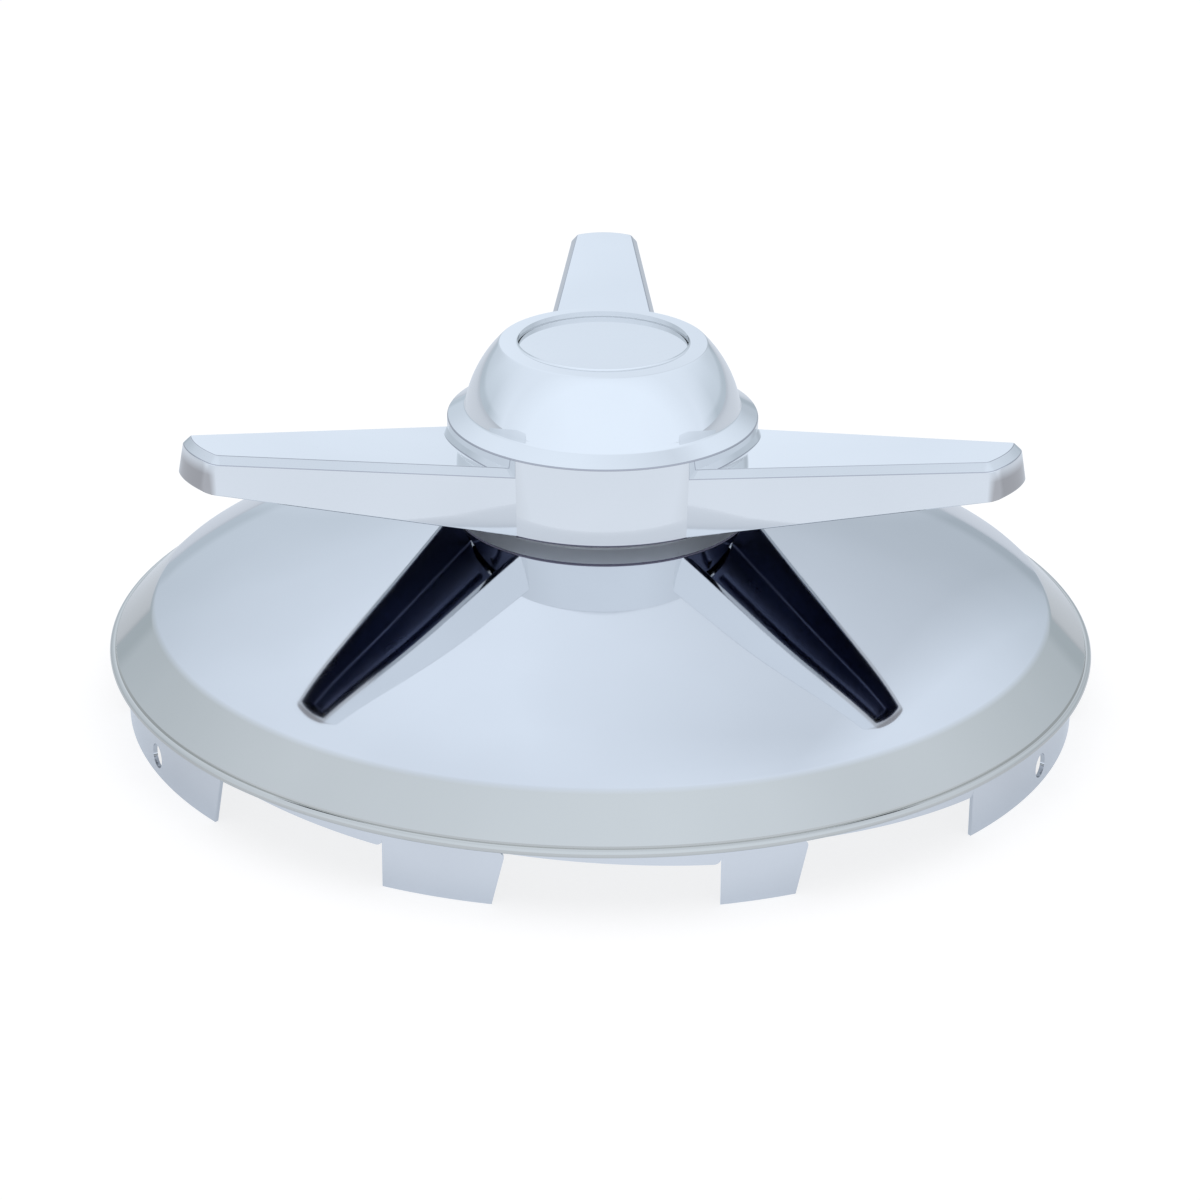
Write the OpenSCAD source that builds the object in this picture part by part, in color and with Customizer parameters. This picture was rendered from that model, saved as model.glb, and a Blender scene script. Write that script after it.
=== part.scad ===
// Wheel hub cap with a three wing spinner.
// The cap stands on the ends of its skirt tabs, +Z up, with the axis on Z.
// A stamped cap shell carries a die cast spinner, held from inside by three screws.

/* [Cap shell] */
// Radius of the rolled bead at the rim
rim_r = 114; // [113:0.5:118]
// Height of the bead's lower edge above the tab ends
bead_z = 14; // [12:0.5:20]
// Radius of the rolled bead's section
bead_fold_r = 0.95; // [0.8:0.05:1.2]
// Radius of the crease between cone and bevel
crease_r = 103.8; // [102:0.2:105]
// Height of the crease
crease_z = 24.8; // [24:0.2:30]
// Radius where the straight cone starts to turn down to the crease
shoulder_r = 60; // [55:1:65]
// Slope of the cone in degrees
cone_angle = 15.7; // [12:0.1:18]
// Slope just inside the crease in degrees
edge_angle = 31; // [26:0.5:34]
// Radius of the flat seat under the spinner
seat_r = 32; // [31:0.5:34]
// Thickness of the sheet
sheet_t = 1.0; // [0.8:0.1:1.2]

/* [Skirt] */
// Outer radius of the skirt, which enters the wheel
skirt_r = 110; // [108:0.5:111]
// Height of the notches between the tabs
notch_h = 12.4; // [10:0.2:12.8]
// Width of a notch in degrees
notch_angle = 25.2; // [20:0.2:27]
// Radius of the corners at the foot of a notch
notch_corner_r = 1.4; // [0.8:0.1:2]
// Diameter of the holes in the two side tabs
tab_hole_d = 5.6; // [4:0.2:6]
// Height of the tab holes
tab_hole_z = 4.8; // [4.4:0.2:8]

/* [Spinner hub] */
// Radius of the hub wall
hub_r = 35.5; // [35:0.1:37]
// Height of the hub wall's lower edge
hub_z = 50.4; // [50:0.2:53]
// Height where the flared band starts
band_z = 68.9; // [68:0.2:70]
// Radius at the top of the flared band
band_top_r = 31.5; // [31:0.1:33]
// Height of the top of the flared band
band_top_z = 71.2; // [70.5:0.1:72.5]
// Radius of the ring round the recess
ring_r = 23.7; // [22.6:0.1:24.8]
// Height of the ring's outer edge
ring_z = 86.1; // [85.5:0.1:86.5]
// Radius of the arc that the dome's section follows from the band to the ring
dome_r = 28; // [24:1:60]
// Height of the top of the hub
top_z = 87.3; // [87:0.1:88.5]
// Radius of the recess in the top
recess_r = 19.4; // [18:0.1:20]
// Depth of the recess down to the centre disc
recess_depth = 1.9; // [1.5:0.1:2.4]
// Wall thickness of the casting
wall_t = 2.4; // [2:0.1:3]
// Outer radius of the neck that sits on the cap shell
neck_r = 31; // [30:0.5:31.5]

/* [Spinner wings] */
// Radius of the wing tips at the top face
tip_r = 100.1; // [95:0.1:102]
// Height of the top face at the hub
root_top_z = 66.6; // [65:0.1:67]
// Height of the top face at the tip
tip_top_z = 79.7; // [76:0.1:82]
// Height of the wings' lower edge above the hub's, at the hub
root_lift = 0.3; // [0.3:0.1:1.5]
// Height of the lower edge at the tip
tip_low_z = 70.9; // [68:0.1:72]
// Half width of a wing at the hub wall
root_half_w = 16.2; // [15:0.1:17]
// Half width of a wing at the tip
tip_half_w = 7.9; // [7:0.1:9]
// Width of the chamfer round the top face
chamfer_w = 1.4; // [1:0.1:1.6]
// Depth of the chamfer round the top face
chamfer_h = 1.8; // [1.4:0.1:2.2]
// Radius of the tip corners
tip_corner_r = 2.6; // [2:0.1:3.2]
// Wall thickness round the hollow underside
wing_wall_t = 1.8; // [1.6:0.1:2.4]

/* [Fasteners] */
// Radius of the circle of screws
screw_circle_r = 18; // [16:0.5:20]
// Thread diameter of the screws
screw_d = 5; // [4:0.5:5]
// Length of the screws under the head
screw_len = 16; // [12:1:17]
// Outer diameter of the bosses
boss_d = 10; // [9:0.5:11]

/* [Hidden] */

$fn = 96;
big = 200;
wing_count = 3;
screw_count = 3;
wing_angles = [for (i = [0 : wing_count - 1]) 90 + i * 360 / wing_count];
screw_angles = [for (i = [0 : screw_count - 1]) 30 + i * 360 / screw_count];

// Middle of each notch and tab hole, in degrees from +X
notch_middles = [233, 270.8, 304.6, 4.4, 90, 175.6];
tab_hole_angles = [206.3, 333.2];

// Cap shell section
slope_in = tan(cone_angle);
slope_out = tan(edge_angle);
shoulder_w = crease_r - shoulder_r;
slope_gain = slope_out - slope_in;
curve_power = 2.6;
shoulder_z = crease_z + (slope_in + slope_gain / (curve_power + 1)) * shoulder_w;
seat_z = shoulder_z + slope_in * (shoulder_r - seat_r);
bead_mid_r = rim_r - bead_fold_r;
bead_mid_z = bead_z + bead_fold_r;
bead_start = 120;
bead_steps = 16;
bead_in = 0.5;
fold_z = bead_z + 0.3;
bevel_foot_r = bead_mid_r - 0.6;
bevel_foot_z = bead_mid_z + bead_fold_r + 0.4;
bevel_angle = atan((crease_z - bevel_foot_z) / (bevel_foot_r - crease_r));
skirt_in_r = skirt_r - sheet_t;
skirt_cut_l = 16;
inner_end_gap = 1.5 * sheet_t;
shoulder_steps = 32;
clearance_hole_d = screw_d + 0.6;

// Spinner hub section
dome_steps = 18;
neck_steps = 6;
dome_dr = band_top_r - ring_r;
dome_dz = ring_z - band_top_z;
dome_lean = atan(dome_dr / dome_dz);
dome_half = asin(norm([dome_dr, dome_dz]) / 2 / dome_r);
dome_first = dome_lean - dome_half;
dome_last = dome_lean + dome_half;
dome_mid_r = band_top_r - dome_r * cos(dome_first);
dome_mid_z = band_top_z - dome_r * sin(dome_first);
disc_t = 1.0;
disc_z = top_z - recess_depth - disc_t;
disc_gap = 0.1;
disc_edge = 0.3;
recess_edge_w = 0.4;
recess_edge_h = 0.3;
ceiling_z = disc_z - wall_t;
neck_in_r = neck_r - wall_t;
boss_bore_d = screw_d + 0.1;
boss_bore_len = 14;

// Wing frame: its top face is level in a frame tilted about the hub axis
root_ref_r = 32;
root_step_x = 31.2;
root_low_z = hub_z + root_lift;
inside_hub_z = band_z - 5;
wing_tilt = atan((tip_top_z - root_top_z) / (tip_r - root_ref_r));
wing_pivot_z = root_top_z - root_ref_r * tan(wing_tilt);
tip_x = tip_r / cos(wing_tilt) + chamfer_w;
root_x = root_ref_r / cos(wing_tilt);
taper = (root_half_w - tip_half_w) / (tip_x - root_x);
wing_start_x = 20;
wing_reach = 40;
past_tip = 8;
corner_steps = 8;
bow_steps = 6;
least_corner_r = 0.8;
tip_turn = 20;
tip_bow = 0.9;
pocket_start_x = hub_r + 1.2;
pocket_ceiling = 2.6;
pocket_tip_t = 3.2;
rib_t = 1.6;
rib_h = 1.8;

// Fastener stack under the seat
washer_t = 1.0;
washer_d = 10;
washer_hole_d = screw_d + 0.3;
lock_t = 1.2;
lock_d = 9.2;
lock_gap = 1.0;
head_d = 9.5;
head_h = 3.0;
cross_w = 1.1;
cross_l = 5.2;
cross_depth = 1.6;
under_seat_z = seat_z - sheet_t;
washer_z = under_seat_z - washer_t;
lock_z = washer_z - lock_t;

// How far a radius lies along the curved stretch, from 0 at its start to 1 at the crease
function along_curve(r) = (r - shoulder_r) / shoulder_w;

// Height of the cap shell's outer face at a radius in the curved stretch
function cap_z(r) =
    crease_z + slope_in * (crease_r - r)
        + slope_gain * shoulder_w / (curve_power + 1) * (1 - pow(along_curve(r), curve_power + 1));

// Slope of the outer face at a radius in the curved stretch, as an angle
function cap_angle(r) = atan(slope_in + slope_gain * pow(along_curve(r), curve_power));

// Points on the shell at a depth under the outer face, from the seat out to the crease
function shell_face(depth) = [
    for (i = [0 : shoulder_steps])
        let (r = shoulder_r + i * shoulder_w / shoulder_steps)
        [r - depth * sin(cap_angle(r)), cap_z(r) - depth * cos(cap_angle(r))]
];

// Where the bevel's face at a depth meets the crease and the foot
function bevel_point(r, z, depth) = [r - depth * sin(bevel_angle), z - depth * cos(bevel_angle)];

// Half width of a wing's outline at a length along it
function half_w(x) = root_half_w - taper * (x - root_x);

// Section of the shell: seat, cone, bevel, rolled bead and skirt
module shell_section() {
    outer = shell_face(0);
    inner = shell_face(sheet_t);
    inner_last = len(inner) - 1;
    polygon(concat(
        [[0, seat_z], [seat_r, seat_z]],
        outer,
        [[bevel_foot_r, bevel_foot_z]],
        [
            for (i = [0 : bead_steps])
                let (a = bead_start + i * (-90 - bead_start) / bead_steps)
                [bead_mid_r + bead_fold_r * cos(a), bead_mid_z + bead_fold_r * sin(a)]
        ],
        [
            [bead_mid_r - bead_in, fold_z],
            [skirt_r, fold_z],
            [skirt_r, 0],
            [skirt_in_r, 0],
            [skirt_in_r, bead_z + 2 * bead_fold_r],
            bevel_point(bevel_foot_r, bevel_foot_z, sheet_t),
            bevel_point(crease_r, crease_z, sheet_t)
        ],
        [for (i = [inner_last : -1 : 0]) if (inner[i][0] < crease_r - inner_end_gap) inner[i]],
        [[seat_r, seat_z - sheet_t], [0, seat_z - sheet_t]]
    ));
}

// One notch through the skirt, with rounded corners at its foot
module notch() {
    half = skirt_r * sin(notch_angle / 2);
    translate([skirt_r, 0, 0])
        rotate([90, 0, 90])
            linear_extrude(skirt_cut_l, center = true) {
                translate([-half, -1])
                    square([2 * half, notch_h + 1 - notch_corner_r]);
                translate([-half + notch_corner_r, 0])
                    square([2 * (half - notch_corner_r), notch_h]);
                for (side = [-1, 1])
                    translate([side * (half - notch_corner_r), notch_h - notch_corner_r])
                        circle(notch_corner_r, $fn = 24);
            }
}

// Stamped cap: cone, bevel, rolled bead and notched skirt from one sheet
module cap_shell() {
    color("lightsteelblue")
        difference() {
            rotate_extrude()
                shell_section();
            for (a = notch_middles)
                rotate(a)
                    notch();
            for (a = tab_hole_angles)
                rotate(a)
                    translate([skirt_r, 0, tab_hole_z])
                        rotate([0, 90, 0])
                            cylinder(h = skirt_cut_l, d = tab_hole_d, center = true, $fn = 32);
            for (a = screw_angles)
                rotate(a)
                    translate([screw_circle_r, 0, seat_z - 2 * sheet_t])
                        cylinder(h = 4 * sheet_t, d = clearance_hole_d, $fn = 32);
        }
}

// Outer section of the hub, filled down to its lower edge
module hub_section() {
    polygon(concat(
        [[0, hub_z], [hub_r, hub_z], [hub_r, band_z], [band_top_r, band_top_z]],
        [
            for (i = [1 : dome_steps])
                let (a = dome_first + i * (dome_last - dome_first) / dome_steps)
                [dome_mid_r + dome_r * cos(a), dome_mid_z + dome_r * sin(a)]
        ],
        [
            [recess_r + recess_edge_w, top_z],
            [recess_r, top_z - recess_edge_h],
            [recess_r, disc_z],
            [0, disc_z]
        ]
    ));
}

// Section of the room inside the neck
module neck_hollow() {
    dome_in_r = dome_r - wall_t;
    first = acos((neck_in_r - dome_mid_r) / dome_in_r);
    end = asin((ceiling_z - dome_mid_z) / dome_in_r);
    rotate_extrude()
        polygon(concat(
            [[0, seat_z - 1], [neck_in_r, seat_z - 1]],
            [
                for (i = [0 : neck_steps])
                    let (a = first + i * (end - first) / neck_steps)
                    [dome_mid_r + dome_in_r * cos(a), dome_mid_z + dome_in_r * sin(a)]
            ],
            [[0, ceiling_z]]
        ));
}

// One side of a wing's plan: from the start, round the tip's corner, to the middle of the tip.
// The tip bows out between its corners.
function wing_edge(inset, start_x, end_x) =
    let (
        corner = max(tip_corner_r - inset, least_corner_r),
        mid_x = end_x - corner - tip_bow,
        mid_y = half_w(mid_x) - inset - corner,
        side_angle = 90 - atan(taper),
        last_y = mid_y + corner * sin(tip_turn)
    )
    concat(
        [[start_x, half_w(start_x) - inset]],
        [
            for (i = [0 : corner_steps])
                let (a = side_angle + i * (tip_turn - side_angle) / corner_steps)
                [mid_x + corner * cos(a), mid_y + corner * sin(a)]
        ],
        [
            for (i = [1 : bow_steps])
                let (y = last_y * (1 - i / bow_steps))
                [
                    mid_x + corner * cos(tip_turn)
                        + last_y * tan(tip_turn) / 2 * (1 - pow(y / last_y, 2)),
                    y
                ]
        ]
    );

// Closed plan of a wing in its own tilted frame, pulled in by an inset
function wing_outline(inset, start_x, end_x) =
    let (edge = wing_edge(inset, start_x, end_x))
    concat(edge, [for (i = [len(edge) - 2 : -1 : 0]) [edge[i][0], -edge[i][1]]]);

// An outline at a height
function at_height(outline, z) = [for (p = outline) [p[0], p[1], z]];

// Upright sides of a wing, lofted in at the top to form the chamfer
module wing_loft() {
    wide = wing_outline(0, wing_start_x, tip_x);
    narrow = wing_outline(chamfer_w, wing_start_x, tip_x - chamfer_w);
    n = len(wide);
    polyhedron(
        points = concat(
            at_height(wide, -wing_reach),
            at_height(wide, -chamfer_h),
            at_height(narrow, 0)
        ),
        faces = concat(
            [[for (i = [n - 1 : -1 : 0]) i]],
            [[for (i = [0 : n - 1]) 2 * n + i]],
            [for (i = [0 : n - 1]) let (j = (i + 1) % n) [i, j, n + j, n + i]],
            [for (i = [0 : n - 1]) let (j = (i + 1) % n) [n + i, n + j, 2 * n + j]],
            [for (i = [0 : n - 1]) let (j = (i + 1) % n) [n + i, 2 * n + j, 2 * n + i]]
        )
    );
}

// Places a shape from a wing's tilted frame on the hub
module in_wing_frame() {
    translate([0, 0, wing_pivot_z])
        rotate([0, -wing_tilt, 0])
            children();
}

// Side view of a wing: all that lies above its lower edge
module above_low_edge() {
    slope = (tip_low_z - root_low_z) / (tip_r - root_step_x);
    rotate([90, 0, 0])
        linear_extrude(4 * root_half_w, center = true)
            polygon([
                [0, inside_hub_z],
                [root_step_x, inside_hub_z],
                [root_step_x, root_low_z],
                [tip_r + past_tip, tip_low_z + past_tip * slope],
                [tip_r + past_tip, 2 * top_z],
                [0, 2 * top_z]
            ]);
}

// Outside of one wing, from inside the hub wall to the tip
module wing_body() {
    intersection() {
        in_wing_frame()
            wing_loft();
        above_low_edge();
    }
}

// Hollow underside of one wing, with a rib along its ceiling
module wing_pocket() {
    in_wing_frame()
        translate([0, 0, -pocket_ceiling])
            difference() {
                translate([0, 0, -wing_reach])
                    linear_extrude(wing_reach)
                        polygon(wing_outline(wing_wall_t, pocket_start_x, tip_x - pocket_tip_t));
                translate([0, -rib_t / 2, -rib_h])
                    cube([big, rib_t, rib_h + 1]);
            }
}

// Bosses that take the screws, rising from the seat to the ceiling
module bosses() {
    for (a = screw_angles)
        rotate(a)
            translate([screw_circle_r, 0, seat_z])
                cylinder(h = ceiling_z + 1 - seat_z, d = boss_d, $fn = 48);
}

// One casting: hub, neck, bosses and three hollow wings
module spinner() {
    color("aliceblue")
        difference() {
            union() {
                difference() {
                    union() {
                        rotate_extrude()
                            hub_section();
                        translate([0, 0, seat_z])
                            cylinder(h = hub_z + 1 - seat_z, r = neck_r);
                        for (a = wing_angles)
                            rotate(a)
                                wing_body();
                    }
                    neck_hollow();
                    for (a = wing_angles)
                        rotate(a)
                            wing_pocket();
                }
                bosses();
            }
            for (a = screw_angles)
                rotate(a)
                    translate([screw_circle_r, 0, seat_z - 1])
                        cylinder(h = boss_bore_len + 1, d = boss_bore_d, $fn = 32);
        }
}

// Plain disc seated in the recess
module centre_disc() {
    disc_r = recess_r - disc_gap;
    color("azure")
        translate([0, 0, disc_z])
            rotate_extrude()
                polygon([
                    [0, 0],
                    [disc_r, 0],
                    [disc_r, disc_t - disc_edge],
                    [disc_r - disc_edge, disc_t],
                    [0, disc_t]
                ]);
}

// Pan head screw that points up, with its bearing face at height 0
module pan_screw() {
    difference() {
        union() {
            cylinder(h = screw_len, d = screw_d, $fn = 32);
            rotate_extrude($fn = 48)
                intersection() {
                    translate([0, -head_h])
                        square([head_d / 2, head_h]);
                    translate([0, -head_h + head_d])
                        circle(head_d, $fn = 96);
                }
        }
        for (a = [0, 90])
            rotate(a)
                translate([-cross_l / 2, -cross_w / 2, -head_h - 1])
                    cube([cross_l, cross_w, cross_depth + 1]);
    }
}

// The three screws that hold the spinner on
module spinner_screws() {
    color("silver")
        for (a = screw_angles)
            rotate(a)
                translate([screw_circle_r, 0, lock_z])
                    pan_screw();
}

// Split spring washers under the screw heads
module lock_washers() {
    color("gray")
        for (a = screw_angles)
            rotate(a)
                translate([screw_circle_r, 0, lock_z])
                    difference() {
                        cylinder(h = lock_t, d = lock_d, $fn = 48);
                        translate([0, 0, -1])
                            cylinder(h = lock_t + 2, d = screw_d + 0.2, $fn = 48);
                        rotate([20, 0, 0])
                            translate([0, -lock_gap / 2, -lock_t])
                                cube([lock_d, lock_gap, 4 * lock_t]);
                    }
}

// Flat washers against the inside of the cap shell
module flat_washers() {
    color("gainsboro")
        for (a = screw_angles)
            rotate(a)
                translate([screw_circle_r, 0, washer_z])
                    difference() {
                        cylinder(h = washer_t, d = washer_d, $fn = 48);
                        translate([0, 0, -1])
                            cylinder(h = washer_t + 2, d = washer_hole_d, $fn = 48);
                    }
}

cap_shell();
spinner();
centre_disc();
spinner_screws();
lock_washers();
flat_washers();
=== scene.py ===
import math

import bmesh
import bpy
from mathutils import Matrix, Vector


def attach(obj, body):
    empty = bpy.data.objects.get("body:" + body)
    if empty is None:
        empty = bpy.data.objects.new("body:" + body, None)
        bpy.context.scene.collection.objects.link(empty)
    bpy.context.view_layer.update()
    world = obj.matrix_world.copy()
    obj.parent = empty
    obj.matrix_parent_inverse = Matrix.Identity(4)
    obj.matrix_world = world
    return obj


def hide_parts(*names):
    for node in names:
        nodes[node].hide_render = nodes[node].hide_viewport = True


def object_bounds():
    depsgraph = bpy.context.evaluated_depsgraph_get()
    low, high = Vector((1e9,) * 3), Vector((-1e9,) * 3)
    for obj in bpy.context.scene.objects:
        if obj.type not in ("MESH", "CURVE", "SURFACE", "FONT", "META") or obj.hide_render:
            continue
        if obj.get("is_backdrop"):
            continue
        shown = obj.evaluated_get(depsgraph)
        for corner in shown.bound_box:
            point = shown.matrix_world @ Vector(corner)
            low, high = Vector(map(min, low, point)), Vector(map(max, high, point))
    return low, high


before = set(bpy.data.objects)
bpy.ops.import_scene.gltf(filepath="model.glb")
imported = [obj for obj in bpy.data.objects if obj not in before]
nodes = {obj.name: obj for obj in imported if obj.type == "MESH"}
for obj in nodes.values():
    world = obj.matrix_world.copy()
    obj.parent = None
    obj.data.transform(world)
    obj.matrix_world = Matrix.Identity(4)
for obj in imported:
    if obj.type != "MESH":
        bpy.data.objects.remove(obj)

cad_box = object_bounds()
MM = 0.001

# Sizes, in millimetres
RIM_R, BEAD_Z, FOLD_R = 114.0, 14.0, 0.95
CREASE_R, CREASE_Z = 103.8, 24.8
SHOULDER_R, CONE_ANGLE, EDGE_ANGLE, CURVE_POWER = 60.0, 15.7, 31.0, 2.6
SEAT_R, SHEET_T, SKIRT_R = 32.0, 1.0, 110.0
SEAT_EDGE_R, CREASE_EDGE_R, SKIRT_EDGE_R = 0.8, 7.0, 0.16
BEAD_FROM, BEAD_TURN, BEAD_STEPS = 120, 210, 18
SHOULDER_STEPS = 32
NOTCH_H, NOTCH_ANGLE, NOTCH_CORNER = 12.4, 25.2, 1.4
NOTCHES = [233.0, 270.8, 304.6, 4.4, 90.0, 175.6]
TAB_HOLES, TAB_HOLE_D, TAB_HOLE_Z = [206.3, 333.2], 5.6, 4.8
SCREW_ANGLES, SCREW_CIRCLE, CLEAR_D, SCREW_BORE = [30.0, 150.0, 270.0], 18.0, 5.6, 5.1

SCREW_BORE_L, BOSS_R = 14.0, 5.0

HUB_R, HUB_Z, BAND_Z = 35.5, 50.4, 68.9
BAND_TOP_R, BAND_TOP_Z = 31.5, 71.2
RING_R, RING_Z, TOP_Z, DOME_R = 23.7, 86.1, 87.3, 28.0
RECESS_R, DISC_Z, CEILING_Z = 19.4, 84.4, 82.0
NECK_R, WALL_T = 31.0, 2.4

TIP_R, ROOT_TOP_Z, TIP_TOP_Z = 100.1, 66.6, 79.7
ROOT_LOW_Z, TIP_LOW_Z = 50.7, 70.9
ROOT_REF_R, ROOT_STEP_X = 32.0, 31.2
ROOT_HALF_W, TIP_HALF_W = 16.2, 7.9
CHAMFER_W, CHAMFER_H, TIP_CORNER = 1.4, 1.8, 2.6
WING_WALL, POCKET_CEILING, POCKET_TIP = 1.8, 2.6, 3.2
WING_ANGLES = [90.0, 210.0, 330.0]
TIP_TURN, TIP_BOW = 20.0, 0.9
ROOT_CUT, POCKET_CUT, WING_EDGE_R = 34.3, 36.4, 0.3
RIB_START, RIB_END_GAP, RIB_H = 38.0, 1.0, 1.8

# How finely the visible meshes are divided
LATHE_SEGMENTS, CIRCLE_POINTS = 480, 48
WING_LENGTHS, WING_CORNERS, WING_ACROSS = 44, 12, 12
CUTTER_R = (102.0, 118.0)


# Small helpers
def tan(degrees):
    return math.tan(math.radians(degrees))


def on_circle(degrees, radius=1.0):
    angle = math.radians(degrees)
    return radius * math.cos(angle), radius * math.sin(angle)


def new_object(name, bm, smooth=True, sharp=28.0):
    mesh = bpy.data.meshes.new(name)
    bm.normal_update()
    bm.to_mesh(mesh)
    bm.free()
    obj = bpy.data.objects.new(name, mesh)
    bpy.context.scene.collection.objects.link(obj)
    if smooth:
        mesh.shade_smooth()
        mesh.set_sharp_from_angle(angle=math.radians(sharp))
    return obj


def fillet(points, closed=False):
    """Rounds the corners of a line of points, each (x, y) or (x, y, radius)."""
    out = []
    n = len(points)
    for i, p in enumerate(points):
        r = p[2] if len(p) > 2 else 0.0
        if r <= 0 or (not closed and i in (0, n - 1)):
            out.append((p[0], p[1]))
            continue
        a = Vector(points[(i - 1) % n][:2])
        b = Vector(p[:2])
        c = Vector(points[(i + 1) % n][:2])
        u, v = a - b, c - b
        turn = math.pi - u.angle(v)
        t = min(r * math.tan(turn / 2), 0.49 * u.length, 0.49 * v.length)
        r = t / math.tan(turn / 2)
        steps = max(3, int(math.degrees(turn) / 9))
        u.normalize()
        v.normalize()
        mid = b + (u + v).normalized() * (r / math.cos(turn / 2))
        s = (b + u * t) - mid
        side = 1 if s.x * v.y - s.y * v.x > 0 else -1
        for k in range(steps + 1):
            ang = side * turn * k / steps
            ca, sa = math.cos(ang), math.sin(ang)
            out.append((mid.x + s.x * ca - s.y * sa, mid.y + s.x * sa + s.y * ca))
    return out


def dense(points, start, end, step):
    """Adds points on the stretch between two indices, so that shading has something to hold."""
    out = []
    for i in range(len(points) - 1):
        out.append(points[i])
        if start <= i < end:
            a, b = Vector(points[i]), Vector(points[i + 1])
            n = int((b - a).length / step)
            for k in range(1, n + 1):
                q = a.lerp(b, k / (n + 1))
                out.append((q.x, q.y))
    out.append(points[-1])
    return out


def lathe(bm, profile, segments, closed=True):
    """Turns a profile of (r, z) in mm round Z. A radius of 0 becomes one vertex."""
    rings = []
    for r, z in profile:
        if r < 1e-6:
            rings.append([bm.verts.new((0, 0, z * MM))])
        else:
            rings.append([
                bm.verts.new((
                    r * MM * math.cos(2 * math.pi * k / segments),
                    r * MM * math.sin(2 * math.pi * k / segments),
                    z * MM,
                ))
                for k in range(segments)
            ])
    pairs = list(zip(rings, rings[1:]))
    if closed:
        pairs.append((rings[-1], rings[0]))
    for a, b in pairs:
        if len(a) == 1 and len(b) == 1:
            continue
        for k in range(segments):
            m = (k + 1) % segments
            if len(a) == 1:
                bm.faces.new((a[0], b[m], b[k]))
            elif len(b) == 1:
                bm.faces.new((a[k], a[m], b[0]))
            else:
                bm.faces.new((a[k], a[m], b[m], b[k]))


def cut(obj, cutter):
    """Cuts a shape out of an object, and removes the cutter."""
    mod = obj.modifiers.new("cut", "BOOLEAN")
    mod.operation = "DIFFERENCE"
    mod.solver = "EXACT"
    mod.object = cutter
    bpy.context.view_layer.update()
    deps = bpy.context.evaluated_depsgraph_get()
    mesh = bpy.data.meshes.new_from_object(obj.evaluated_get(deps))
    obj.modifiers.clear()
    obj.data = mesh
    bpy.data.objects.remove(cutter)


def add_prism(bm, rows):
    """Closes two outlines with the same number of vertices into a prism."""
    a, b = rows
    n = len(a)
    bm.faces.new(a)
    bm.faces.new(b[::-1])
    for k in range(n):
        m = (k + 1) % n
        bm.faces.new((a[m], a[k], b[k], b[m]))


def add_radial_prism(bm, degrees, outline):
    """A cutter that runs outwards through the skirt, with an outline of (sideways, up) in mm."""
    turn = Matrix.Rotation(math.radians(degrees), 4, "Z")
    add_prism(bm, [
        [bm.verts.new(turn @ Vector((x * MM, y * MM, z * MM))) for y, z in outline]
        for x in CUTTER_R
    ])


def circle(radius, x=0.0, y=0.0):
    step = 360.0 / CIRCLE_POINTS
    return [
        (x + radius * math.cos(math.radians(k * step)), y + radius * math.sin(math.radians(k * step)))
        for k in range(CIRCLE_POINTS)
    ]


def weigh_normals(obj):
    mod = obj.modifiers.new("weighted", "WEIGHTED_NORMAL")
    mod.mode = "FACE_AREA"
    mod.weight = 60
    mod.keep_sharp = True


# Cap shell
slope_in, slope_out = tan(CONE_ANGLE), tan(EDGE_ANGLE)
shoulder_w = CREASE_R - SHOULDER_R
slope_gain = slope_out - slope_in
shoulder_z = CREASE_Z + (slope_in + slope_gain / (CURVE_POWER + 1)) * shoulder_w
SEAT_Z = shoulder_z + slope_in * (SHOULDER_R - SEAT_R)
bead_mid_r, bead_mid_z = RIM_R - FOLD_R, BEAD_Z + FOLD_R
foot_r, foot_z = bead_mid_r - 0.6, bead_mid_z + FOLD_R + 0.4
bevel_angle = math.degrees(math.atan((CREASE_Z - foot_z) / (foot_r - CREASE_R)))
fold_z = BEAD_Z + 0.3


def cap_z(r):
    """Height of the cap's outer face between shoulder and crease, whose slope grows with the radius."""
    t = (r - SHOULDER_R) / shoulder_w
    return (CREASE_Z + slope_in * (CREASE_R - r)
            + slope_gain * shoulder_w / (CURVE_POWER + 1) * (1 - t ** (CURVE_POWER + 1)))


def cap_slope(r):
    """Slope there, in radians."""
    return math.atan(slope_in + slope_gain * ((r - SHOULDER_R) / shoulder_w) ** CURVE_POWER)


def shell_line(depth):
    """Face of the shell at a depth: seat, cone, shoulder, crease and bevel, from the axis out."""
    line = [(0.0, SEAT_Z - depth), (SEAT_R, SEAT_Z - depth, SEAT_EDGE_R)]
    for i in range(SHOULDER_STEPS - 1):
        r = SHOULDER_R + shoulder_w * i / SHOULDER_STEPS
        a = cap_slope(r)
        line.append((r - depth * math.sin(a), cap_z(r) - depth * math.cos(a)))
    b = math.radians(bevel_angle)
    # the crease's inner corner lies on the line that halves it, near enough
    line.append((CREASE_R - depth * math.sin(b) * 0.8, CREASE_Z - depth * math.cos(b) * 1.05, CREASE_EDGE_R))
    line.append((foot_r - depth * math.sin(b), foot_z - depth * math.cos(b)))
    return fillet(line)


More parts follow.
